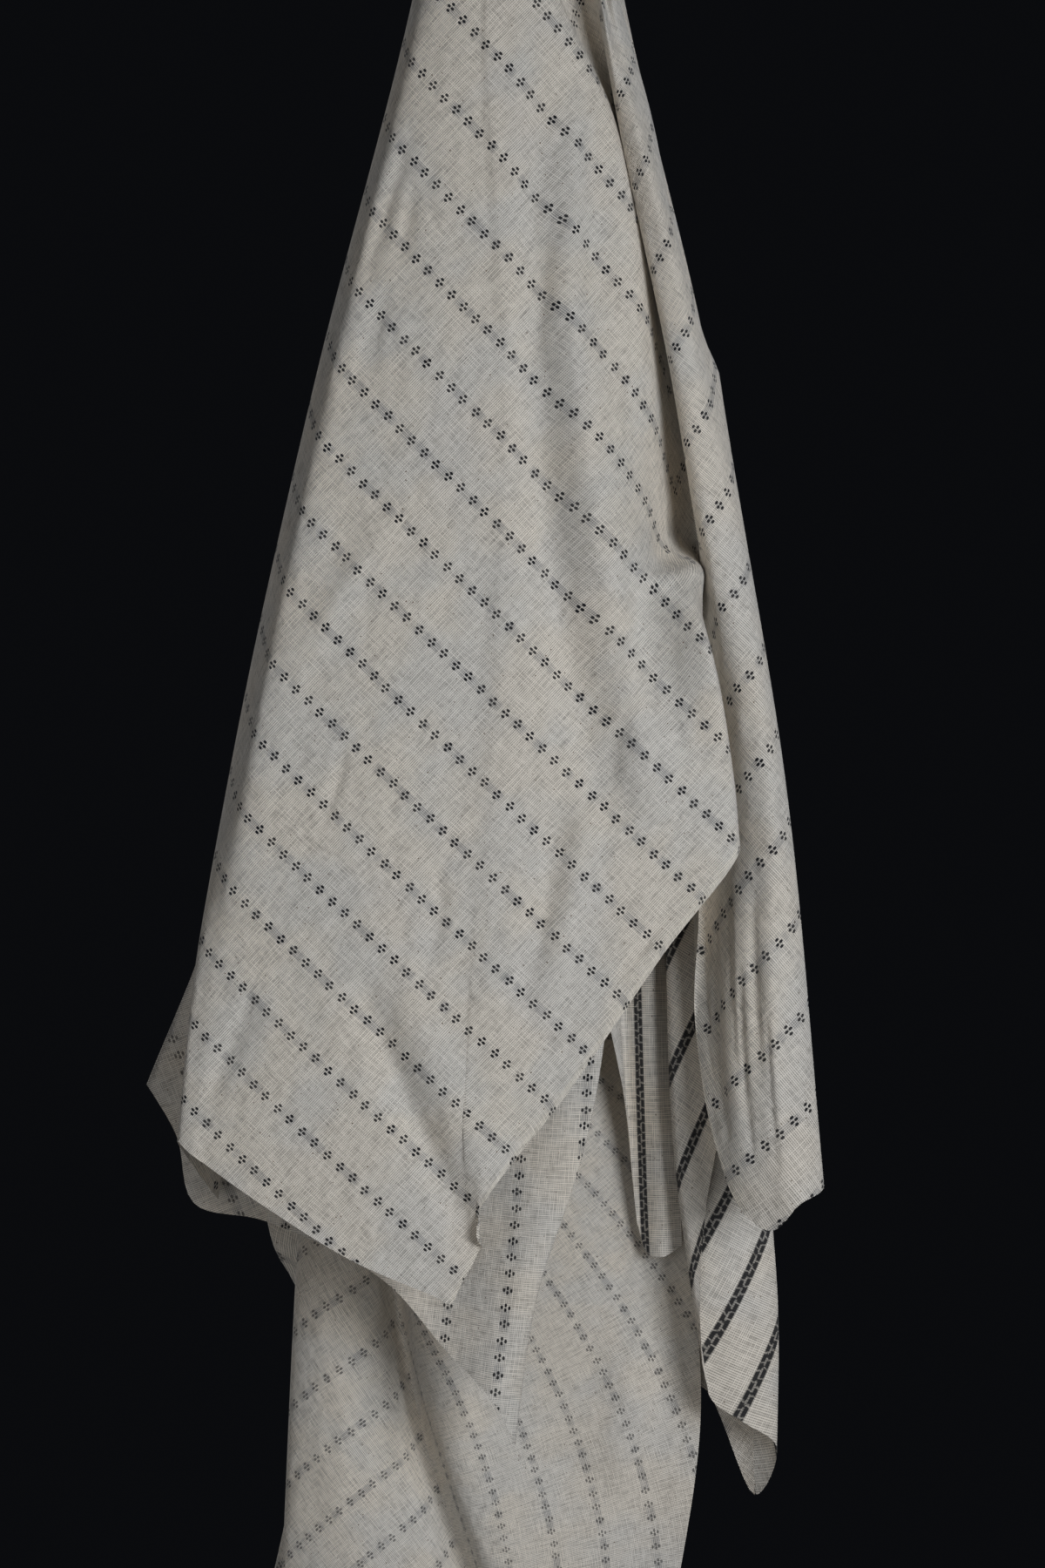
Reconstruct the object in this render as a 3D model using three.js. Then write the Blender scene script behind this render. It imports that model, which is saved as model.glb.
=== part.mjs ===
// A length of handwoven cotton that hangs from one gathered point, in millimetres, +Z up.
// The hang point is the origin. The viewer stands on the -Y side, with +X to the right.
// The cloth is one sheet. Lines run down it from the gather to the hem, and the sheet is a smooth
// surface through those lines in order, so it goes back and forth through all its folds.

import * as THREE from "three";

// Driving dimensions
const sheetThickness = 1;
const neckDrop = 99;
const chestDrop = 234;
const waistDrop = 369;
const hipDrop = 504;
const gatherWidthShare = 0.5;
const gatherDepthShare = 0.36;
const leastStretch = 6;
const tightestFold = 0.7;

// Fineness of the solid
const rowsDown = 21;
const levelRows = 12;
const levelDrop = 365;
const stepsBetweenLines = 2;

// Finish
const clothColour = 0xd9d2c5;
const clothRoughness = 0.95;

// The lines of the cloth in order, one short table for each part of the hang.
// Columns: name; sideways place at the neck, chest, waist and hip (null where the line ends above);
// sideways place and height of the lower end; depth at the hip, minus towards the viewer;
// and a sideways swell halfway along the lowest stretch.
const lineColumns = ["name", "neck", "chest", "waist", "hip", "hemX", "hemZ", "depth", "swell"];

// A narrow tab of the free edge that hangs behind the opening, and the cloth that carries it.
const innerTab = [
  ["tab_edge", 23, 35, 45, 55, 56, -532, 12, 0],
  ["tab_middle", 21, 31, 39, 48, 49, -534, 12, 0],
  ["tab_left", 18, 27, 33, 40, 43, -533, 14, 0],
  ["tab_rise", 16, 24, 29, null, 35, -475, 14, 0],
  ["hidden_right", 12, 17, 22, null, 25, -445, 12, 0],
  ["hidden_middle", 4, 2, 1, null, -1, -488, 10, 0],
  ["hidden_turn", -6, -17, -27, -29, -30, -527, 4, 0],
];

// The layer behind the front panel, with a hanging point at its middle and a corner at its left.
const underLayer = [
  ["under_left", -2, -10, -14, -13, -13, -572, -4, 0],
  ["under_tip", 1, 0, 4, 7, -1, -594, -3, 0],
  ["under_turn", 4, 15, 31, 20, -1, -558, -10, 0],
  ["point_tip", 1, 6, 15, 8, -10, -578, -17, 0],
  ["point_middle", -5, -9, -13, -22, -27, -562, -21, 0],
  ["point_left", -13, -25, -38, -49, -48, -539, -18, 0],
  ["corner_right", -22, -45, -64, -84, -88, -519, -8, 0],
  ["corner_low", -29, -58, -83, -108, -113, -513, 2, 0],
  ["corner_side", -32, -64, -91, null, -119, -490, 5, 0],
  ["corner_tip", -34, -67, -96, null, -129, -472, 0, 4],
  ["left_tuck", -32, -62, -88, null, -106, -472, -9, 0],
];

// The broad front panel: its left fold, the lowest corner, the slanting edge and the right fold.
const frontPanel = [
  ["front_left", -37, -71, -100, null, -116, -489, -20, -2],
  ["front_side", -30, -52, -75, null, -94, -506, -35, 0],
  ["front_middle", -22, -32, -47, -56, -57, -528, -44, 0],
  ["front_corner", -15, -12, -19, -23, -24, -542, -48, 0],
  ["front_curl", -12, -5, -9, -14, -15, -512, -49, 0],
  ["front_edge_low", -4, 12, 16, null, 16, -471, -47, 0],
  ["front_edge_high", 4, 31, 42, null, 47, -426, -42, 0],
  ["front_right", 11, 51, 71, null, 73, -390, -33, 0],
];

// The valley of the opening, between the front panel and the right flap.
const opening = [
  ["opening_near", 15, 44, 58, null, 58, -387, -20, 0],
  ["opening_far", 20, 40, 49, null, 51, -402, -6, 0],
];

// The right flap, which ends in a raw cut end, and the cloth that turns back behind it.
const rightFlap = [
  ["flap_left", 25, 49, 59, null, 59, -453, -8, 0],
  ["flap_edge", 26, 52, 63, null, 65, -488, -13, 0],
  ["flap_middle", 27, 56, 69, 74, 75, -515, -18, 0],
  ["flap_corner", 28, 59, 76, 83, 85, -521, -21, 0],
  ["flap_cut_end", 30, 64, 84, 92, 94, -512, -19, 0],
  ["flap_right", 33, 68, 90, 101, 103, -506, -9, 0],
  ["flap_back", 32, 62, 81, null, 86, -483, 2, 0],
  ["flap_inner", 29, 56, 68, null, 71, -487, 9, 0],
];

// The rolled tail behind the flap: its front, its right turn and the lower point of its inside.
const rolledTail = [
  ["tail_left", 28, 51, 55, 60, 65, -582, 18, 0],
  ["tail_middle", 31, 58, 68, 74, 76, -591, 23, 0],
  ["tail_right", 36, 67, 80, 86, 89, -601, 33, 2],
  ["tail_point", 32, 60, 73, 80, 82, -620, 42, 0],
  ["tail_inside", 27, 50, 56, 61, 63, -583, 49, 0],
];

// The back of the hang, in soft flutes from right to left.
const rear = [
  ["rear_right", 15, 22, 29, 32, 33, -690, 68, 0],
  ["rear_dip", 2, 2, 2, 2, 4, -697, 61, 0],
  ["rear_crown", -12, -19, -27, -33, -35, -702, 77, 0],
  ["rear_side", -22, -38, -52, -64, -69, -696, 73, 0],
  ["rear_left", -28, -48, -65, -81, -96, -683, 63, 0],
  ["rear_tuck", -25, -41, -54, -69, -76, -680, 54, 0],
];

// The long panel that hangs lowest, with a slanting trough down its middle.
const longPanel = [
  ["long_left", -28, -48, -66, -82, -83, -686, 45, 0],
  ["long_side", -24, -39, -52, -65, -58, -690, 36, -4],
  ["long_ridge", -18, -29, -40, -52, -12, -691, 33, -10],
  ["long_trough", -16, -25, -34, -46, -1, -693, 41, -10],
  ["long_slope", -10, -14, -17, -21, 15, -692, 33, -6],
  ["long_middle", -2, 1, 4, 7, 29, -692, 29, 0],
  ["long_bulge", 8, 17, 27, 35, 42, -686, 26, 4],
  ["long_right", 16, 30, 43, 55, 51, -675, 22, 8],
];

// The opening is a valley beside the flap's standing ridge, down to a small pocket; below the pocket
// the front panel's fold lies over the flap. These stations set that, between neck and waist.
// Columns: line; drop below the hang point; sideways place; depth.
const pocketRows = [
  ["front_edge_high", 234, 29, -28],
  ["front_right", 234, 47, -14],
  ["opening_near", 234, 49, -6],
  ["opening_far", 234, 51, -5],
  ["flap_left", 234, 52, -12],
  ["flap_edge", 234, 54, -20],
  ["flap_middle", 234, 56, -24],
  ["front_edge_high", 291, 38, -32],
  ["front_right", 291, 55, -18],
  ["opening_near", 291, 58, -11],
  ["opening_far", 291, 61, -8],
  ["flap_left", 291, 63, -12],
  ["flap_edge", 291, 65, -17],
  ["flap_middle", 291, 67, -20],
  ["front_right", 315, 62, -27],
  ["opening_near", 315, 60, -17],
  ["opening_far", 315, 59, -8],
  ["flap_left", 315, 62, -8],
  ["flap_edge", 315, 65, -12],
];

const lineRows = [
  ...innerTab,
  ...underLayer,
  ...frontPanel,
  ...opening,
  ...rightFlap,
  ...rolledTail,
  ...rear,
  ...longPanel,
];

// One table row as an object with a field for each column.
function namedLine(row) {
  return Object.fromEntries(lineColumns.map((column, place) => [column, row[place]]));
}

// Front to back, the hang is thin at the gather and reaches its full depth at the hip.
function depthAt(line, drop) {
  const toHip = Math.min(drop / hipDrop, 1);
  const opened = toHip * (2 - toHip);
  return line.depth * (gatherDepthShare + (1 - gatherDepthShare) * opened);
}

// The stations of one line as [drop, sideways place, depth], from the gather to its lower end.
function stationsOf(line) {
  const hemDrop = -line.hemZ;
  const places = [
    [0, gatherWidthShare * line.neck],
    [neckDrop, line.neck],
    [chestDrop, line.chest],
    [waistDrop, line.waist],
  ];
  if (line.hip !== null && hemDrop - hipDrop > leastStretch) {
    places.push([hipDrop, line.hip]);
  }
  if (line.swell !== 0) {
    const [lastDrop, lastX] = places[places.length - 1];
    places.push([(lastDrop + hemDrop) / 2, (lastX + line.hemX) / 2 + line.swell]);
  }
  places.push([hemDrop, line.hemX]);
  const pocket = pocketRows.filter(([name]) => name === line.name);
  const pocketStations = pocket.map(([, drop, x, depth]) => [drop, x, depth]);
  const taken = pocketStations.map(([drop]) => drop);
  const plain = places.filter(([drop]) => !taken.includes(drop));
  const plainStations = plain.map(([drop, x]) => [drop, x, depthAt(line, drop)]);
  return [...plainStations, ...pocketStations].sort((one, other) => one[0] - other[0]);
}

// A smooth curve through stations: at each one its slope is that of the parabola through the
// station and its two neighbours, and cubic pieces run between them.
function smoothThrough(stations, drop, column) {
  const last = stations.length - 1;
  const run = (i) => stations[i + 1][0] - stations[i][0];
  const rise = (i) => (stations[i + 1][column] - stations[i][column]) / run(i);
  const slope = (i) => {
    if (i === 0) {
      return rise(0);
    }
    if (i === last) {
      return rise(last - 1);
    }
    return (rise(i - 1) * run(i) + rise(i) * run(i - 1)) / (run(i - 1) + run(i));
  };
  let piece = 0;
  while (piece < last - 1 && drop > stations[piece + 1][0]) {
    piece += 1;
  }
  const from = stations[piece][column];
  const to = stations[piece + 1][column];
  const t = (drop - stations[piece][0]) / run(piece);
  const bend = (1 - t) * (1 - t) * t * slope(piece) - (1 - t) * t * t * slope(piece + 1);
  const ease = t * t * (3 - 2 * t);
  return from + (to - from) * ease + run(piece) * bend;
}

// How far down one line a row of the sheet lies: level above the shortest hem, then fanned out.
function dropOfRow(line, row) {
  if (row <= levelRows) {
    return levelDrop * row / levelRows;
  }
  const fanned = (row - levelRows) / (rowsDown - levelRows);
  return levelDrop + (-line.hemZ - levelDrop) * fanned;
}

// The middle surface of the sheet as rows of points, from the gather down to the hem.
function middleSurface(lines) {
  const stations = lines.map(stationsOf);
  const stepsAcross = (lines.length - 1) * stepsBetweenLines;
  const surface = [];
  for (let row = 0; row <= rowsDown; row += 1) {
    const onLines = lines.map((line, place) => {
      const drop = dropOfRow(line, row);
      const x = smoothThrough(stations[place], drop, 1);
      const y = smoothThrough(stations[place], drop, 2);
      return new THREE.Vector3(x, y, -drop);
    });
    const across = new THREE.CatmullRomCurve3(onLines, false, "centripetal");
    surface.push(across.getPoints(stepsAcross));
  }
  return surface;
}

// The mean direction of a run of points at its middle one, each side counting alike.
function runDirection(before, at, after) {
  const into = at.clone().sub(before).normalize();
  const outOf = after.clone().sub(at).normalize();
  return into.add(outOf);
}

// The step from the middle of the sheet to its face at one point, square to the sheet.
// At a tight fold the step is longer, so that the sheet keeps its thickness beside the fold.
function stepToFace(surface, row, column, halfThickness) {
  const at = surface[row][column];
  const left = surface[row][column - 1] ?? at;
  const right = surface[row][column + 1] ?? at;
  const above = surface[row - 1]?.[column] ?? at;
  const below = surface[row + 1]?.[column] ?? at;
  const across = runDirection(left, at, right);
  const down = runDirection(above, at, below);
  const inside = left !== at && right !== at;
  const openness = inside ? across.length() / 2 : 1;
  const step = across.cross(down).normalize();
  return step.multiplyScalar(halfThickness / Math.max(openness, tightestFold));
}

// A closed sheet of even thickness around a middle surface.
function closedSheet(surface, thickness) {
  const rows = surface.length;
  const columns = surface[0].length;
  const positions = [];
  for (const side of [1, -1]) {
    for (let row = 0; row < rows; row += 1) {
      for (let column = 0; column < columns; column += 1) {
        const point = surface[row][column].clone();
        point.addScaledVector(stepToFace(surface, row, column, thickness / 2), side);
        positions.push(point.x, point.y, point.z);
      }
    }
  }
  const back = rows * columns;
  const at = (row, column) => row * columns + column;
  const faces = [];
  const quad = (a, b, c, d) => faces.push(a, b, c, a, c, d);
  for (let row = 0; row + 1 < rows; row += 1) {
    for (let column = 0; column + 1 < columns; column += 1) {
      const [a, b] = [at(row, column), at(row, column + 1)];
      const [d, c] = [at(row + 1, column), at(row + 1, column + 1)];
      const falling = surface[row][column].distanceTo(surface[row + 1][column + 1]);
      const rising = surface[row + 1][column].distanceTo(surface[row][column + 1]);
      if (falling < rising) {
        quad(a, b, c, d);
        quad(back + c, back + b, back + a, back + d);
      } else {
        quad(b, c, d, a);
        quad(back + d, back + c, back + b, back + a);
      }
    }
  }
  for (let row = 0; row + 1 < rows; row += 1) {
    const firstUpper = at(row, 0);
    const firstLower = at(row + 1, 0);
    quad(firstUpper, firstLower, back + firstLower, back + firstUpper);
    const lastUpper = at(row, columns - 1);
    const lastLower = at(row + 1, columns - 1);
    quad(lastLower, lastUpper, back + lastUpper, back + lastLower);
  }
  for (let column = 0; column + 1 < columns; column += 1) {
    const topLeft = at(0, column);
    const topRight = at(0, column + 1);
    quad(topRight, topLeft, back + topLeft, back + topRight);
    const hemLeft = at(rows - 1, column);
    const hemRight = at(rows - 1, column + 1);
    quad(hemLeft, hemRight, back + hemRight, back + hemLeft);
  }
  const geometry = new THREE.BufferGeometry();
  geometry.setAttribute("position", new THREE.Float32BufferAttribute(positions, 3));
  geometry.setIndex(faces);
  geometry.computeVertexNormals();
  return geometry;
}

const lines = lineRows.map(namedLine);
const clothMaterial = new THREE.MeshStandardMaterial({
  color: clothColour,
  roughness: clothRoughness,
  metalness: 0,
  side: THREE.DoubleSide,
});
const cloth = new THREE.Mesh(closedSheet(middleSurface(lines), sheetThickness), clothMaterial);
cloth.name = "hanging_cloth";

const hanging = new THREE.Group();
hanging.add(cloth);

export default hanging;
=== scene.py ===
import bpy
import numpy as np
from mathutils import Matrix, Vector


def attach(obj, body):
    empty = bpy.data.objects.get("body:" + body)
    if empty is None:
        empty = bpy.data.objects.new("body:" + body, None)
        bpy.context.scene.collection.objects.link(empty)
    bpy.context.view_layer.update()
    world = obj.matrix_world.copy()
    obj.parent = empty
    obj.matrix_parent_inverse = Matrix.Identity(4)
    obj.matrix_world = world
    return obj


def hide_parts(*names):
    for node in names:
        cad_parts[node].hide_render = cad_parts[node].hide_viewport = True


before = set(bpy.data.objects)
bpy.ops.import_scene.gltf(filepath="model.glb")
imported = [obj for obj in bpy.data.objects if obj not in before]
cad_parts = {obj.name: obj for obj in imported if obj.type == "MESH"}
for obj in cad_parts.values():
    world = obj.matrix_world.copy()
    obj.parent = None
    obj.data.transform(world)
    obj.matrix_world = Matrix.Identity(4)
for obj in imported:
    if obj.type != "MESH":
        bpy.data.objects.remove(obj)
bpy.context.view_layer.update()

# The hanging cloth: one length of off-white handspun cotton in an open plain weave, made on a hand
# loom, with rows of small dark flowers and, near one end, dark double bands laid in as extra weft.
# It has two selvages and raw cut ends, and hangs in deep folds from a gather at its top edge.

# Sizes are in millimetres here, and in metres in the mesh.
neck_drop, chest_drop, waist_drop, hip_drop = 99, 234, 369, 504
gather_width_share = 0.5
gather_depth_share = 0.36
least_stretch = 6
level_drop = 365
level_rows, fanned_rows = 108, 72
pocket_rows, pocket_drops = (58, 94), (255, 318)

# Lines down the cloth in order, one row for each fold, edge or panel middle. Columns: name;
# sideways place at neck, chest, waist and hip; place and height of the lower end; depth at the
# hip, minus to the front; swell halfway along the lowest stretch; mesh steps to the next line.
fold_lines = [
    ("tab_edge", 23, 35, 45, 55, 56, -531, 30, 0, 6),
    ("tab_middle", 21, 31, 39, 48, 49, -535, 28, 0, 6),
    ("tab_left", 18, 27, 33, 40, 43, -533, 33, 0, 4),
    ("tab_rise", 16, 24, 29, None, 35, -475, 24, 0, 4),
    ("hidden_right", 12, 17, 22, None, 25, -445, 12, 0, 4),
    ("hidden_middle", 4, 2, 1, None, -1, -488, 10, 0, 4),
    ("hidden_turn", -6, -17, -27, -29, -30, -527, 4, 0, 6),
    ("under_left", -2, -10, -14, -13, -13, -572, -5, 0, 6),
    ("under_tip", 1, 0, 4, 7, -2.4, -595, -12, 0, 8),
    ("under_turn", 4, 15, 31, 18, -7.2, -584, -17, -2, 10),
    ("point_tip", 1, 6, 16, 9, -11.5, -577.5, -18, -1, 10),
    ("point_middle", -5, -9, -13, -22, -27, -562, -9.5, 0, 8),
    ("point_left", -13, -25, -38, -49, -48, -539, -6.5, 0, 8),
    ("corner_right", -22, -45, -64, -84, -88, -519, -6, 0, 8),
    ("corner_low", -29, -58, -83, -108, -113, -513, -3, 0, 6),
    ("corner_side", -32, -64, -91, None, -119, -490, -2, 0, 6),
    ("corner_tip", -34, -67, -96, None, -129, -472, -6, 4, 6),
    ("left_tuck", -32, -62, -88, None, -104, -511, -11, 0, 8),
    ("front_left", -37, -71, -100, None, -116, -489, -20, -2, 8),
    ("front_turn", -34.5, -66.8, -95.3, None, -111.3, -493, -36, 0, 5),
    ("front_brow", -32.5, -63.5, -91.5, None, -107, -496, -41, 0, 8),
    ("front_side", -29, -51, -73, None, -91, -507, -44.5, 0, 18),
    ("front_middle", -22, -32, -47, -56, -57, -528, -47.5, 0, 14),
    ("front_low_edge", -16, -15, -23, -28, -29, -540, -48, 0, 5),
    ("front_corner", -15, -12, -19, -23, -24, -542.5, -48, 0, 4),
    ("front_side_edge", -14, -10, -16, -20, -20.5, -536, -48, 0, 5),
    ("front_lip", -13, -7.5, -12.5, -17, -15.3, -525.5, -48.5, 0, 5),
    ("front_curl", -12, -5, -9, -14, -15.6, -514, -49, 0, 13),
    ("front_edge_low", -4, 12, 16, None, 16, -471, -47, 0, 20),
    ("front_edge_high", 4, 31, 42, None, 47, -426, -46, 0, 20),
    ("front_right", 11, 51, 71, None, 73, -390, -42, 0, 12),
    ("opening_near", 15, 44, 58, None, 58, -387, -20, 0, 8),
    ("opening_far", 20, 40, 52, None, 60.5, -412, -6, 0, 10),
    ("flap_left", 25, 49, 59, None, 59.5, -448, 6, 0, 8),
    ("flap_edge", 26, 52, 63, None, 65, -488, -3, 0, 10),
    ("flap_middle", 27, 56, 69, 74, 75, -515, -13, 0, 10),
    ("flap_corner", 28, 59, 76, 83, 85, -521, -18, 0, 10),
    ("flap_cut_end", 30, 64, 84, 92, 94, -512, -21, 0, 10),
    ("flap_right", 33, 68, 90, 101, 103, -506, -13, 0, 8),
    ("flap_back", 32, 62, 81, None, 86, -483, 2, 0, 6),
    ("flap_inner", 29, 56, 68, None, 71, -487, 9, 0, 6),
    ("tail_left", 28, 47, 49, 54, 65, -582, 20, 0, 8),
    ("tail_middle", 31, 58, 68, 74, 76, -591, 20, 0, 8),
    ("tail_right", 36, 67, 80, 86, 89, -601, 26, 2, 8),
    ("tail_point", 32, 60, 73, 80, 82, -620, 38, 0, 8),
    ("tail_inside", 27, 50, 56, 61, 63, -583, 49, 0, 8),
    ("rear_right", 15, 22, 29, 32, 33, -690, 68, 0, 8),
    ("rear_dip", 2, 2, 2, 2, 4, -697, 61, 0, 8),
    ("rear_crown", -12, -19, -27, -33, -35, -702, 77, 0, 8),
    ("rear_side", -22, -38, -52, -64, -69, -696, 73, 0, 8),
    ("rear_left", -28, -48, -65, -92, -96, -683, 63, 14, 8),
    ("rear_tuck", -25, -41, -54, -69, -76, -680, 54, 0, 6),
    ("long_left", -28, -48, -66, -78, -87, -686, 45, 0, 8),
    ("long_side", -24, -39, -52, -65, -58, -690, 34, -4, 12),
    ("long_ridge", -18, -29, -41, -55, -14, -691, 37, -10, 8),
    ("long_trough", -16, -25, -35, -49, -2, -693, 46, -10, 8),
    ("long_slope", -14, -20, -29, -41, 7, -692, 31, -10, 12),
    ("long_middle", -2, 1, 4, 6, 29, -692, 35, 0, 12),
    ("long_bulge", 8, 17, 27, 35, 42, -686, 39, 4, 10),
    ("long_right", 16, 30, 43, 55, 51, -675, 38, 10, 0),
]

# Extra stations on the lines: at the left edges, on the flap's right edge, and round the opening,
# its small pocket and the flap behind it. Columns: line; drop; sideways place; depth.
extra_stations = [
    ("front_left", 429, -110, -33.5),
    ("front_left", 489, -116, -37.5),
    ("front_turn", 429, -105, -38),
    ("front_turn", 493, -111.3, -40.5),
    ("rear_left", 526, -91.6, 63),
    ("rear_left", 538, -88, 63),
    ("rear_left", 546, -83, 63),
    ("flap_right", 218, 62.4, -10),
    ("flap_right", 229, 67.3, -10.4),
    ("front_right", 99, 11.3, -22),
    ("opening_near", 99, 11.5, -9),
    ("opening_far", 99, 22, -2),
    ("flap_left", 99, 25.5, -9),
    ("flap_edge", 99, 25, -14.5),
    ("flap_middle", 99, 26.5, -17),
    ("front_edge_high", 135, 14, -25),
    ("front_right", 135, 27, -20),
    ("opening_near", 135, 30, -9),
    ("opening_far", 135, 34, -2),
    ("flap_left", 135, 32, -10),
    ("flap_edge", 135, 31, -16.5),
    ("flap_middle", 135, 32.5, -19.5),
    ("flap_corner", 135, 36, -20.5),
    ("flap_cut_end", 135, 39.5, -16),
    ("flap_right", 135, 43, -7),
    ("front_edge_high", 234, 29, -33),
    ("front_right", 234, 42, -26),
    ("opening_near", 234, 49.5, -9),
    ("opening_far", 234, 55, -1),
    ("flap_left", 234, 52, -17),
    ("flap_edge", 234, 51, -25.5),
    ("flap_middle", 234, 53.5, -29),
    ("flap_corner", 234, 60, -29),
    ("flap_cut_end", 234, 65, -21),
    ("front_edge_high", 272, 35, -34),
    ("front_right", 272, 46, -20),
    ("opening_near", 272, 52.5, -4),
    ("opening_far", 272, 59, 6),
    ("flap_left", 272, 58.5, -12),
    ("flap_edge", 272, 57.5, -22),
    ("flap_middle", 272, 60.5, -26),
    ("flap_corner", 272, 66, -26),
    ("front_edge_high", 291, 38, -34),
    ("front_right", 291, 48.5, -18),
    ("opening_near", 287, 55.5, -1),
    ("opening_far", 287, 61, 8),
    ("front_right", 300, 53, -31),
    ("opening_near", 297, 60, -26),
    ("opening_near", 303, 60.5, -27),
    ("opening_far", 304, 61, -6),
    ("flap_left", 315, 62.5, -6),
    ("flap_edge", 315, 65, -13),
    ("flap_left", 369, 62, 4),
    ("flap_edge", 369, 67, -3),
    ("flap_middle", 369, 72, -12),
    ("flap_corner", 369, 77, -18),
    ("flap_left", 415, 61, 6),
    ("flap_edge", 425, 66, 0),
    ("flap_middle", 430, 72, -12),
]


def depth_share(drop):
    """The share of a line's depth at a drop: it grows from the gather as a falling parabola and
    is whole from the hip down."""
    to_hip = np.minimum(np.asarray(drop, float) / hip_drop, 1)
    return gather_depth_share + (1 - gather_depth_share) * to_hip * (2 - to_hip)


def stations_of(line):
    """One line's stations as rows of drop, sideways place and depth, from the gather to its end.
    An extra station takes the place of a plain one at the same drop."""
    name, neck, chest, waist, hip, hem_x, hem_z, depth, swell, _ = line
    places = [(0, gather_width_share * neck), (neck_drop, neck)]
    places += [(chest_drop, chest), (waist_drop, waist)]
    if hip is not None and -hem_z - hip_drop > least_stretch:
        places.append((hip_drop, hip))
    if swell:
        last_drop, last_x = places[-1]
        places.append(((last_drop - hem_z) / 2, (last_x + hem_x) / 2 + swell))
    places.append((-hem_z, hem_x))
    extra = [station[1:] for station in extra_stations if station[0] == name]
    taken = [station[0] for station in extra]
    plain = [(drop, x, depth * depth_share(drop)) for drop, x in places if drop not in taken]
    return np.array(sorted(plain + extra), float)


def smooth_through(stations, drop):
    """Place and depth at each drop: cubic pieces through the stations, with the slope at each one
    that of the parabola through it and its two neighbours."""
    at, value = stations[:, 0], stations[:, 1:]
    run = np.diff(at)[:, None]
    rise = np.diff(value, axis=0) / run
    inner = (rise[:-1] * run[1:] + rise[1:] * run[:-1]) / (run[:-1] + run[1:])
    slope = np.vstack([rise[:1], inner, rise[-1:]])
    piece = np.clip(np.searchsorted(at, drop) - 1, 0, len(run) - 1)
    t = ((drop - at[piece]) / run[piece, 0])[:, None]
    bend = (1 - t) ** 2 * t * slope[piece] - (1 - t) * t**2 * slope[piece + 1]
    return value[piece] + (value[piece + 1] - value[piece]) * t**2 * (3 - 2 * t) + run[piece] * bend


def down_lines():
    """Points down every line, as rows by lines by three: level rows to the shortest hem, closer
    together round the pocket, and then rows that fan out evenly to each line's own end."""
    row_marks, drop_marks = (0, *pocket_rows, level_rows), (0, *pocket_drops, level_drop)
    level = np.interp(np.arange(level_rows), row_marks, drop_marks)
    fan = np.linspace(0, 1, fanned_rows)
    points = []
    for line in fold_lines:
        drop = np.concatenate([level, level_drop + (-line[6] - level_drop) * fan])
        points.append(np.column_stack([smooth_through(stations_of(line), drop), -drop]))
    return np.stack(points, axis=1)


def across_lines(points, span, t):
    """Points between the lines: a curve through them whose knots are spaced by the square root of
    their distance, so that it rounds tight folds without loops."""
    ends = (2 * points[:, :1] - points[:, 1:2], 2 * points[:, -1:] - points[:, -2:-1])
    chain = np.concatenate([ends[0], points, ends[1]], axis=1)
    p0, p1, p2, p3 = (chain[:, span + k] for k in range(4))
    pairs = ((p0, p1), (p1, p2), (p2, p3))
    k0, k1, k2 = (np.sqrt(np.linalg.norm(b - a, axis=-1, keepdims=True)) for a, b in pairs)
    out_of = ((p1 - p0) / k0 - (p2 - p0) / (k0 + k1) + (p2 - p1) / k1) * k1
    into = ((p2 - p1) / k1 - (p3 - p1) / (k1 + k2) + (p3 - p2) / k2) * k1
    t = t[None, :, None]
    bend = (1 - t) ** 2 * t * out_of - (1 - t) * t**2 * into
    return p1 + (p2 - p1) * t**2 * (3 - 2 * t) + bend


names = [line[0] for line in fold_lines]
steps = [line[9] for line in fold_lines[:-1]]
span_of_column = np.concatenate([np.full(n, k) for k, n in enumerate(steps)] + [[len(steps) - 1]])
step_of_column = np.concatenate([np.arange(n) / n for n in steps] + [[1.0]])
line_of_column = span_of_column + step_of_column
cloth_points = across_lines(down_lines(), span_of_column, step_of_column)
rows, columns = cloth_points.shape[:2]

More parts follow.
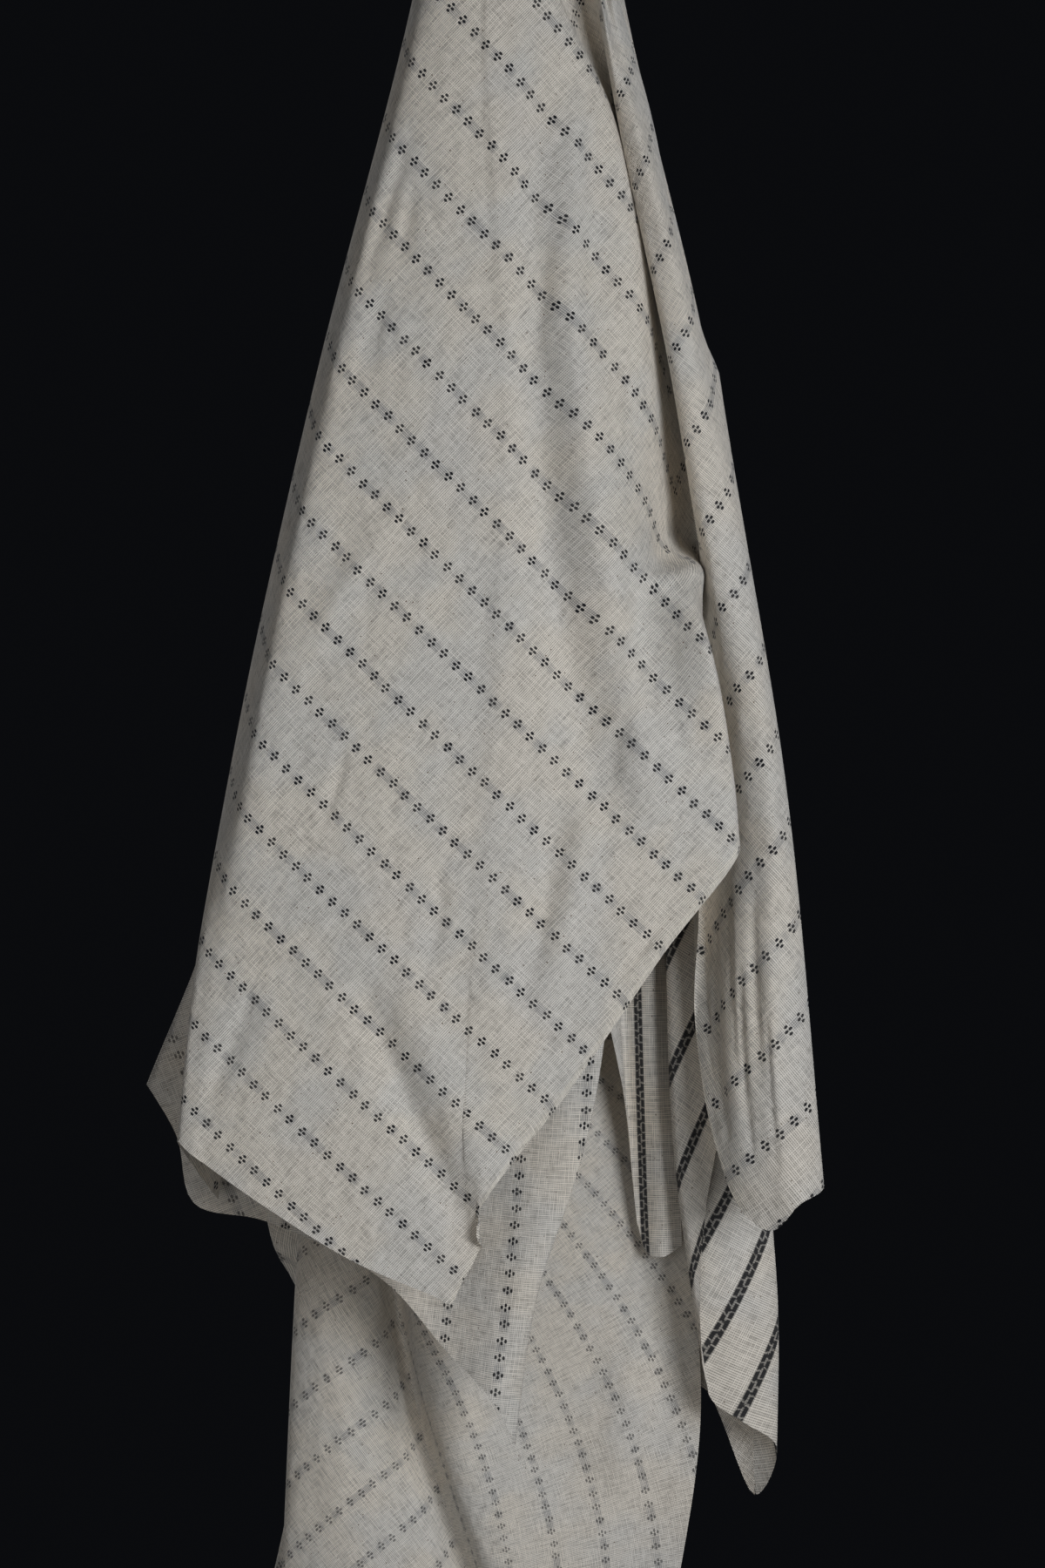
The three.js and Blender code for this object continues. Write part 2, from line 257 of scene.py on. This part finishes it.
# Soft creases, ridges above zero and troughs below, from a top point past a middle one to a low
# one. Columns: first and last fold line; x and z of the three points; half width; height.
creases = [
    ("front_left", "front_corner", -39, -156, -46, -174, -54, -205, 3, -1.6),
    ("front_left", "front_corner", -37, -165, -39, -180, -42, -194, 3, -1.1),
    ("front_left", "front_corner", -46, -205, -50, -218, -54, -232, 3, -1.4),
    ("front_side_edge", "opening_near", 19, -135, 16.5, -180, 16, -235, 6, 3.8),
    ("front_side_edge", "opening_near", 6, -135, 4.5, -180, 4, -235, 6, -3.8),
    ("front_side_edge", "opening_near", 20, -161, 10.5, -183, 6, -226, 1.6, -1.2),
    ("front_side_edge", "front_right", 20, -206, 26, -290, 47, -385, 10, 6),
    ("front_middle", "front_right", 5, -206, 10, -290, 31, -385, 9, -5.4),
    ("front_edge_low", "opening_near", 36, -298, 47, -301, 60, -294, 3.5, 2.5),
    ("front_middle", "front_right", 13, -370, 8, -405, -1, -445, 4, -1.8),
    ("front_middle", "front_right", 23, -370, 17, -406, 8, -446, 5, 2.2),
    ("front_edge_low", "front_right", 34, -345, 31, -358, 28, -370, 3, -1.5),
    ("front_side", "front_edge_low", -54, -434, -36, -481, -10, -533, 5.5, -4.4),
    ("front_side", "front_edge_low", -42, -425, -25, -471, -1, -520, 7, 2.6),
    ("front_side", "front_edge_low", -28, -394, -29, -416, -35, -437, 3, -1.5),
    ("front_left", "front_middle", -90, -437, -98, -457, -106, -475, 3, -1.8),
    ("front_left", "front_corner", -58.6, -357, -63, -371, -68, -385, 1.6, -1.5),
    ("front_left", "front_corner", -42, -276, -61, -306, -78, -335, 5, 1.6),
    ("front_edge_low", "front_right", 50, -411, 40, -424, 30, -437, 2, -1.2),
    ("front_edge_low", "front_right", 35, -341, 52, -355, 66, -369, 2, -1.2),
    ("flap_left", "flap_cut_end", 63, -415, 63, -440, 66, -478, 1.4, -1.3),
    ("flap_left", "flap_cut_end", 66.5, -430, 67, -462, 71, -495, 1.3, -1.5),
    ("flap_left", "flap_cut_end", 70.5, -398, 70.5, -432, 73.5, -474, 1.5, -1.3),
    ("flap_left", "flap_cut_end", 74.5, -428, 75, -462, 79, -503, 1.3, -1.4),
    ("flap_edge", "flap_right", 78.5, -405, 79, -440, 82, -480, 1.6, -1.1),
    ("flap_edge", "flap_right", 83, -446, 84, -472, 87, -504, 1.4, -1.1),
    ("flap_edge", "flap_right", 88, -410, 89, -440, 92, -476, 2.2, -0.8),
    ("point_tip", "point_left", -7, -507, 6, -505, 19, -502, 1.8, -1.5),
    ("long_trough", "long_middle", -34, -556, -26, -592, -6, -636, 6, 2),
    ("long_slope", "long_right", 37, -560, 37, -590, 30, -620, 10, 5),
    ("long_slope", "long_right", -2, -606, 15, -611, 32, -613, 5, -3),
]


def crease_height(points, line_of_column):
    """How far the creases lift each point along the sheet's normal: each is a bell across a curve
    through its three points, which fades towards both ends."""
    lift = np.zeros(points.shape[:2])
    t = np.linspace(0, 1, 40)[:, None]
    for first, last, *numbers in creases:
        spots, (width, height) = np.reshape(numbers[:6], (3, 2)), numbers[6:]
        bent = 2 * spots[1] - (spots[0] + spots[2]) / 2
        curve = (1 - t) ** 2 * spots[0] + 2 * t * (1 - t) * bent + t**2 * spots[2]
        on = (line_of_column >= names.index(first)) & (line_of_column <= names.index(last))
        place = points[:, on][..., [0, 2]]
        far = np.linalg.norm(place[:, :, None] - curve, axis=-1)
        nearest = far.argmin(axis=-1)
        fade = np.sin(np.pi * t[nearest, 0]) ** 0.6
        inside = np.minimum(line_of_column - names.index(first), names.index(last) - line_of_column)
        border = np.clip(inside[on] / 0.4, 0, 1)
        lift[:, on] += height * fade * border * np.exp(-((far.min(axis=-1) / width) ** 2))
    return lift


def sheet_normals(points):
    """Unit normals of the sheet: down crossed with across, so that the front faces the viewer."""
    normal = np.cross(np.gradient(points, axis=0), np.gradient(points, axis=1))
    return normal / np.linalg.norm(normal, axis=-1, keepdims=True)


smooth_points = cloth_points
cloth_normals = sheet_normals(smooth_points)
cloth_lift = crease_height(smooth_points, line_of_column)[..., None]
cloth_points = smooth_points + cloth_lift * cloth_normals

# How the woven rows lie on each part of the hang. Columns: first and last fold line; the line where
# the measure across starts; its sense; the place and height of the chart's origin; then the row
# coordinate there, its slope across and up, and its bends across, both ways and up, per 100 mm;
# and the strength of the flowers, nought for plain cloth, or 2 for the banded border.
weave_charts = [
    ("tab_edge", "tab_rise", "tab_middle", -1, 40, -500, -1, 98, 2, 0, 0, 0, 2),
    ("tab_rise", "under_tip", "hidden_middle", -1, 0, -450, 0, 60, -85, 0, 0, 0, 1),
    ("under_tip", "corner_right", "point_middle", -1, -10, -540, 15.4, 104, -10, -8, 10, 0, 1),
    ("corner_right", "corner_tip", "corner_tip", -1, -129, -472, 8, 93, 37, 0, 0, 0, 0.7),
    ("corner_tip", "left_tuck", "corner_tip", 1, -129, -472, 8, 93, 37, 0, 0, 0, 0.7),
    ("left_tuck", "opening_near", "front_corner", 1, 0, -369, 169, -71, -75, 1, 0, 1.5, 1),
    ("opening_near", "flap_back", "flap_middle", 1, 70, -369, 173, 68, -66, 3, 12, 3, 1),
    ("flap_back", "tail_left", "tail_left", -1, 76, -540, 59.3, 71, -38, 0, 0, 0, 2),
    ("tail_left", "tail_point", "tail_middle", 1, 76, -540, 48.5, 78, -40, 30, 20, 0, 2),
    ("tail_point", "tail_inside", "tail_point", -1, 76, -540, 20, 80, -50, 0, 0, 0, 0),
    ("tail_inside", "rear_tuck", "rear_crown", -1, 0, -369, 5, 60, -82, 0, 0, 0, 0.7),
    ("rear_tuck", "long_trough", "long_side", 1, -60, -590, 38.4, 65, -90, -3, -22, 0, 0.7),
    ("long_trough", "long_right", "long_middle", 1, 20, -590, 61, -117, -49, 14, 14, -30, 0.7),
]


def weave_coordinates(points):
    """Each face corner's place along and across the woven rows. The place across a part is the
    length round its folds from the chart's line; a parabolic chart of that length and of the
    height gives the row coordinate, and its quarter-turned mate the place along the row."""
    around = np.hypot(*np.diff(points[..., :2], axis=1).transpose(2, 0, 1)).cumsum(axis=1)
    around = np.concatenate([np.zeros((rows, 1)), around], axis=1)
    column_of = {name: int(np.argmin(np.abs(line_of_column - k))) for k, name in enumerate(names)}
    middle = (line_of_column[:-1] + line_of_column[1:]) / 2
    chart_of_face = np.searchsorted([names.index(chart[1]) for chart in weave_charts], middle)
    start = np.array([column_of[chart[2]] for chart in weave_charts])[chart_of_face]
    numbers = np.array([chart[3:] for chart in weave_charts], float)[chart_of_face].T
    sense, from_x, from_z, row_0, row_a, row_z, bend_a, bend_both, bend_z, figure = numbers

    def chart(side):
        """Row and along coordinates of the faces' left or right corners, whole rows at a time."""
        turn = np.arange(columns - 1) + side
        a = (points[:, start, 0] + sense * (around[:, turn] - around[:, start]) - from_x) / 100
        z = (points[:, turn, 2] - from_z) / 100
        row = row_0 + row_a * a + row_z * z + bend_a * a**2 + bend_both * a * z + bend_z * z**2
        along = row_a * z - row_z * a + bend_both * (z**2 - a**2) / 2 + (bend_a - bend_z) * a * z
        return np.stack([along, row], axis=-1)

    left, right = chart(0), chart(1)
    corners = np.stack([left[:-1], left[1:], right[1:], right[:-1]], axis=2)
    return corners, np.broadcast_to(figure[None, :, None], corners.shape[:3])


def hem_distance(points):
    """Each point's distance from the lower edge of the cloth, measured along its own column."""
    step = np.linalg.norm(np.diff(points, axis=0), axis=-1)
    return np.concatenate([step[::-1].cumsum(axis=0)[::-1], np.zeros((1, columns))])


grid = np.arange(rows * columns).reshape(rows, columns)
cloth_faces = np.stack([grid[:-1, :-1], grid[1:, :-1], grid[1:, 1:], grid[:-1, 1:]], axis=-1)
weave_places, figure_corners = weave_coordinates(smooth_points)
# The lower ends of the selvage columns get a painted highlight: each point's distance from that
# edge, measured down its column.
selvages = [("front_corner", "front_right"), ("opening_far", "flap_middle")]
edge_distance = np.full((rows, columns), 99.0)
for first, last in selvages:
    on = (line_of_column >= names.index(first)) & (line_of_column <= names.index(last))
    edge_distance[:, on] = hem_distance(cloth_points)[:, on]
edge_places = edge_distance.ravel()[cloth_faces]

hanging_mesh = bpy.data.meshes.new("hanging_cloth_visual")
hanging_mesh.from_pydata((cloth_points * 0.001).reshape(-1, 3), [], cloth_faces.reshape(-1, 4))
hanging_mesh.shade_smooth()
weave_map = hanging_mesh.uv_layers.new(name="weave")
weave_map.data.foreach_set("uv", weave_places.astype(np.float32).ravel())
zone_map = hanging_mesh.uv_layers.new(name="zone")
zone_places = np.stack([figure_corners, edge_places], axis=-1)
zone_map.data.foreach_set("uv", zone_places.astype(np.float32).ravel())
hanging_cloth = bpy.data.objects.new("hanging_cloth_visual", hanging_mesh)
bpy.context.collection.objects.link(hanging_cloth)


class Reading:
    """One socket of the cloth's material, with arithmetic: each operator adds one Math node."""

    tree = None

    def __init__(self, socket):
        self.socket = socket

    @classmethod
    def node(cls, kind, settings=None, inputs=None, output=0):
        """Adds a node of a kind with its settings and then its inputs, and reads one output."""
        node = cls.tree.nodes.new(kind)
        for name, value in (settings or {}).items():
            setattr(node, name, value)
        for name, value in (inputs or {}).items():
            if isinstance(value, Reading):
                cls.tree.links.new(value.socket, node.inputs[name])
            else:
                node.inputs[name].default_value = value
        return cls(node.outputs[output])

    @classmethod
    def math(cls, operation, *values):
        """A Math node on values or readings."""
        return cls.node("ShaderNodeMath", {"operation": operation}, dict(enumerate(values)))

    def __add__(self, other):
        return self.math("ADD", self, other)

    def __radd__(self, other):
        return self.math("ADD", other, self)

    def __sub__(self, other):
        return self.math("SUBTRACT", self, other)

    def __rsub__(self, other):
        return self.math("SUBTRACT", other, self)

    def __mul__(self, other):
        return self.math("MULTIPLY", self, other)

    def __rmul__(self, other):
        return self.math("MULTIPLY", other, self)

    def __truediv__(self, other):
        return self.math("DIVIDE", self, other)

    def __pow__(self, other):
        return self.math("POWER", self, other)

    def __abs__(self):
        return self.math("ABSOLUTE", self)

    def nearest(self):
        """The nearest whole number."""
        return self.math("ROUND", self)

    def either(self, other):
        """The larger of two readings."""
        return self.math("MAXIMUM", self, other)

    def at_most(self, limit):
        """The reading, or the limit where it is larger."""
        return self.math("MINIMUM", self, limit)

    def fall(self, full, none):
        """One up to `full`, then smoothly down to zero at `none`."""
        return self.node(
            "ShaderNodeMapRange",
            {"interpolation_type": "SMOOTHSTEP"},
            {"Value": self, "From Min": full, "From Max": none, "To Min": 1.0, "To Max": 0.0},
        )

    @classmethod
    def grain(cls, along, across, seed, detail=2.0):
        """Noise at places given in its own grain sizes, about a half."""
        place = cls.node("ShaderNodeCombineXYZ", None, {"X": along, "Y": across, "Z": seed})
        inputs = {"Vector": place, "Scale": 1.0, "Detail": detail}
        return cls.node("ShaderNodeTexNoise", None, inputs)

    @classmethod
    def tint(cls, share, first, second, blend="MIX"):
        """A colour mixed from two by a share."""
        return cls.node(
            "ShaderNodeMix",
            {"data_type": "RGBA", "blend_type": blend},
            {0: share, 6: first, 7: second},
            output=2,
        )


row_pitch, flower_pitch, band_pitch, border_end = 22.2, 5.9, 17.0, -40.0
weft_pitch, warp_pitch = 0.63, 0.66
dot_along, dot_across = 0.68, 0.45
side_dots, end_dots = 0.8, 1.36
brightest_yarn = 1.2
grey_cotton = (0.735, 0.69, 0.62, 1)
warm_cotton = (0.79, 0.7175, 0.615, 1)
# Painted highlight: the lighter colour laid along the selvage hems, where their rolled edges catch
# the light.
painted_edge_highlight = (0.898, 0.82, 0.69, 1)
dark_yarn = (0.010, 0.011, 0.014, 1)
float_shadow = (0.15, 0.155, 0.17, 1)
seed_fleck = (0.16, 0.11, 0.07, 1)

handspun = bpy.data.materials.new("handspun_cotton")
handspun.use_nodes = True
Reading.tree = handspun.node_tree
surface = handspun.node_tree.nodes["Principled BSDF"]
surface.inputs["Roughness"].default_value = 0.92
surface.inputs["Specular IOR Level"].default_value = 0.15
surface.inputs["Sheen Weight"].default_value = 0.15

weave_uv = Reading.node("ShaderNodeUVMap", {"uv_map": "weave"})
along = Reading.node("ShaderNodeSeparateXYZ", None, {0: weave_uv}, 0)
across = Reading.node("ShaderNodeSeparateXYZ", None, {0: weave_uv}, 1)
zone_uv = Reading.node("ShaderNodeUVMap", {"uv_map": "zone"})
figure = Reading.node("ShaderNodeSeparateXYZ", None, {0: zone_uv}, 0)
banded = (1 - figure.fall(1.4, 1.6)) * (1 - across.fall(border_end - 0.5, border_end + 0.5))
from_edge = Reading.node("ShaderNodeSeparateXYZ", None, {0: zone_uv}, 1)

# The yarns: uneven threads both ways, brighter where they swell, with dark gaps between them.
weft_slubs = Reading.grain(along / 6, across / weft_pitch, 1.0)
warp_slubs = Reading.grain(along / warp_pitch, across / 8, 5.0)
weft_drift = Reading.grain(along / 40, across / 6, 9.0)
warp_drift = Reading.grain(along / 6, across / 40, 11.0)
weft = 0.5 + 0.5 * Reading.math("COSINE", 6.2832 * (across / weft_pitch + weft_drift))
warp = 0.5 + 0.5 * Reading.math("COSINE", 6.2832 * (along / warp_pitch + warp_drift))
weft_share = Reading.grain(along / 9, across / 7, 19.0)
weft_light = weft * (2.6 * weft_slubs - 0.5) * (0.2 + 1.4 * weft_share)
warp_light = warp * (2.9 * warp_slubs - 0.4) * (1.7 - 1.4 * weft_share)
thread = weft_light.either(warp_light)
weft_streaks = Reading.grain(along / 7, across / 1.0, 15.0)
warp_streaks = Reading.grain(along / 1.0, across / 7, 16.0)
spun = 0.385 + 0.82 * thread + 0.3 * (weft_streaks - 0.5) + 0.45 * (warp_streaks - 0.5)
yarn = spun.at_most(brightest_yarn)
patches = Reading.grain(along / 30, across / 38, 13.0)
flecks = Reading.grain(along / 1.0, across / 0.7, 17.0, 0.0)

# The flowers: four dots of dark extra weft, a pair beside each other and one at either end.
row = (across / row_pitch).nearest()
off_row = across - row * row_pitch
shift = Reading.node("ShaderNodeTexWhiteNoise", {"noise_dimensions": "1D"}, {"W": row})
stepped = along + shift * flower_pitch
flower = (stepped / flower_pitch).nearest()
key = Reading.node("ShaderNodeCombineXYZ", None, {"X": flower, "Y": row, "Z": 3.0})
chance = Reading.node("ShaderNodeTexWhiteNoise", {"noise_dimensions": "3D"}, {"Vector": key}, 1)
chance_along = Reading.node("ShaderNodeSeparateXYZ", None, {0: chance}, 0)
chance_across = Reading.node("ShaderNodeSeparateXYZ", None, {0: chance}, 1)
chance_ink = Reading.node("ShaderNodeSeparateXYZ", None, {0: chance}, 2)
off_flower = stepped - flower * flower_pitch + 0.5 * (chance_along - 0.5)
off_row_line = off_row + 0.5 * (chance_across - 0.5)
side_far = ((abs(off_flower) - side_dots) / dot_along) ** 2 + (off_row_line / dot_across) ** 2
end_far = (off_flower / dot_along) ** 2 + ((abs(off_row_line) - end_dots) / dot_across) ** 2
dots = side_far.fall(0.8, 1.35).either(end_far.fall(0.8, 1.35))
flowers = dots * (0.9 + 0.1 * chance_ink) * figure.at_most(1.0) * (1 - banded)
gaps = Reading.grain(along / 4, row * 7.3, 21.0, 0.0)
floats = abs(off_row).fall(1.2, 2.0) * (1.3 - 1.2 * weft) * gaps.fall(0.62, 0.38) * (1 - banded)

# The double bands of the border: two dark lines of long floats, parted by a thin broken line.
band = (across / band_pitch).nearest()
off_band = across - band * band_pitch
other_side = off_band.fall(-0.1, 0.1)
uneven = along + 2.4 * Reading.grain(along / 3, across / 2, 31.0)
parting_gap = abs(Reading.math("WRAP", uneven, 1.9, -1.9))
float_gap = abs(Reading.math("WRAP", uneven + 1.4 * other_side, 1.4, -1.4))
parting = abs(off_band).fall(0.12, 0.42) * parting_gap.fall(1.2, 1.6)
between_floats = 1 - float_gap.fall(1.0, 1.35)
bands = abs(off_band).fall(1.4, 1.95) * (0.96 - 0.45 * parting.either(between_floats)) * banded

cotton = Reading.tint(patches.fall(0.62, 0.40), warm_cotton, grey_cotton)
# Painted highlight: the cotton is lightened by half within about 3 mm of the selvage hems, where
# their rolled edges catch the light.
cotton = Reading.tint(from_edge.fall(2.2, 4.2) * 0.5, cotton, painted_edge_highlight)
shaded = Reading.node("ShaderNodeVectorMath", {"operation": "SCALE"}, {0: cotton, "Scale": yarn})
flecked = Reading.tint(1 - flecks.fall(0.80, 0.84), shaded, seed_fleck)
floated = Reading.tint(floats * 0.5, flecked, float_shadow)
inked = Reading.tint(flowers.either(bands), floated, dark_yarn)
Reading.tree.links.new(inked.socket, surface.inputs["Base Color"])

# Heights are in millimetres: the threads, and crinkles left from folding.
broad_crinkles = Reading.grain(along / 16, across / 16, 25.0)
fine_crinkles = Reading.grain(along / 5, across / 5, 29.0)
crinkles = broad_crinkles + 0.4 * fine_crinkles
heights = 0.05 * thread + 1.6 * crinkles
bump = {"Strength": 1.0, "Distance": 0.001, "Height": heights}
relief = Reading.node("ShaderNodeBump", None, bump)
Reading.tree.links.new(relief.socket, surface.inputs["Normal"])
hanging_mesh.materials.append(handspun)

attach(hanging_cloth, "root")
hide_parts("hanging_cloth")

# The stage: a plain pale floor below the hem, soft lamps, and a dark room behind.
floor_z, floor_radius, floor_sides = -0.75, 0.5, 96
ring = np.linspace(0, 2 * np.pi, floor_sides, endpoint=False)
floor_x, floor_y = floor_radius * np.cos(ring), floor_radius * np.sin(ring)
floor_rim = np.column_stack([floor_x, floor_y, np.full(floor_sides, floor_z)])
floor_mesh = bpy.data.meshes.new("floor")
floor_mesh.from_pydata(floor_rim, [], [np.arange(floor_sides)])
floor_paint = bpy.data.materials.new("pale_floor")
floor_paint.use_nodes = True
floor_surface = floor_paint.node_tree.nodes["Principled BSDF"]
floor_surface.inputs["Base Color"].default_value = (0.62, 0.61, 0.59, 1)
floor_surface.inputs["Roughness"].default_value = 0.8
floor_mesh.materials.append(floor_paint)
floor = bpy.data.objects.new("floor", floor_mesh)
bpy.context.collection.objects.link(floor)

# Columns: name; place; target; side; spread in degrees; power; colour.
lamps = [
    ("key", (0.82, -1.3, -0.25), (-0.045, 0, -0.36), 0.6, 75, 2.53, (0.895, 0.938, 1.0)),
    ("fill", (-0.6, -1.45, -0.4), (0, 0, -0.4), 1.2, 180, 3.45, (0.967, 0.977, 1.0)),
    ("rear_left", (-1.0, 1.4, 0.1), (0, 0, -0.4), 0.8, 180, 5, (0.976, 0.982, 1.0)),
    ("rear_right", (1.1, 1.3, 0.1), (0, 0, -0.4), 0.8, 180, 5.3, (0.882, 0.924, 1.0)),
]
for name, place, target, side, spread, power, colour in lamps:
    lamp = bpy.data.lights.new(name, "AREA")
    lamp.shape, lamp.size, lamp.spread = "SQUARE", side, np.radians(spread)
    lamp.energy, lamp.color = power, colour
    holder = bpy.data.objects.new(name, lamp)
    holder.location = place
    holder.rotation_mode = "QUATERNION"
    holder.rotation_quaternion = (Vector(target) - Vector(place)).to_track_quat("-Z", "Y")
    bpy.context.collection.objects.link(holder)

room = bpy.data.worlds.new("room")
room.use_nodes = True
room_air = room.node_tree.nodes["Background"]
room_air.inputs["Color"].default_value = (0.0032, 0.0035, 0.0043, 1)
bpy.context.scene.world = room
bpy.context.scene.view_settings.view_transform = "Standard"

# The camera looks level from the front, 1.5 m away, and takes in the cloth from near the gather
# to below the right flap, from the top of the picture to its bottom.
eye = bpy.data.cameras.new("eye")
eye.sensor_fit, eye.sensor_height, eye.lens = "VERTICAL", 36, 100
eye.clip_start, eye.clip_end = 0.05, 20
camera = bpy.data.objects.new("eye", eye)
camera.location = (0, -1.5, -0.369)
camera.rotation_euler = (np.pi / 2, 0, 0)
bpy.context.collection.objects.link(camera)
bpy.context.scene.camera = camera
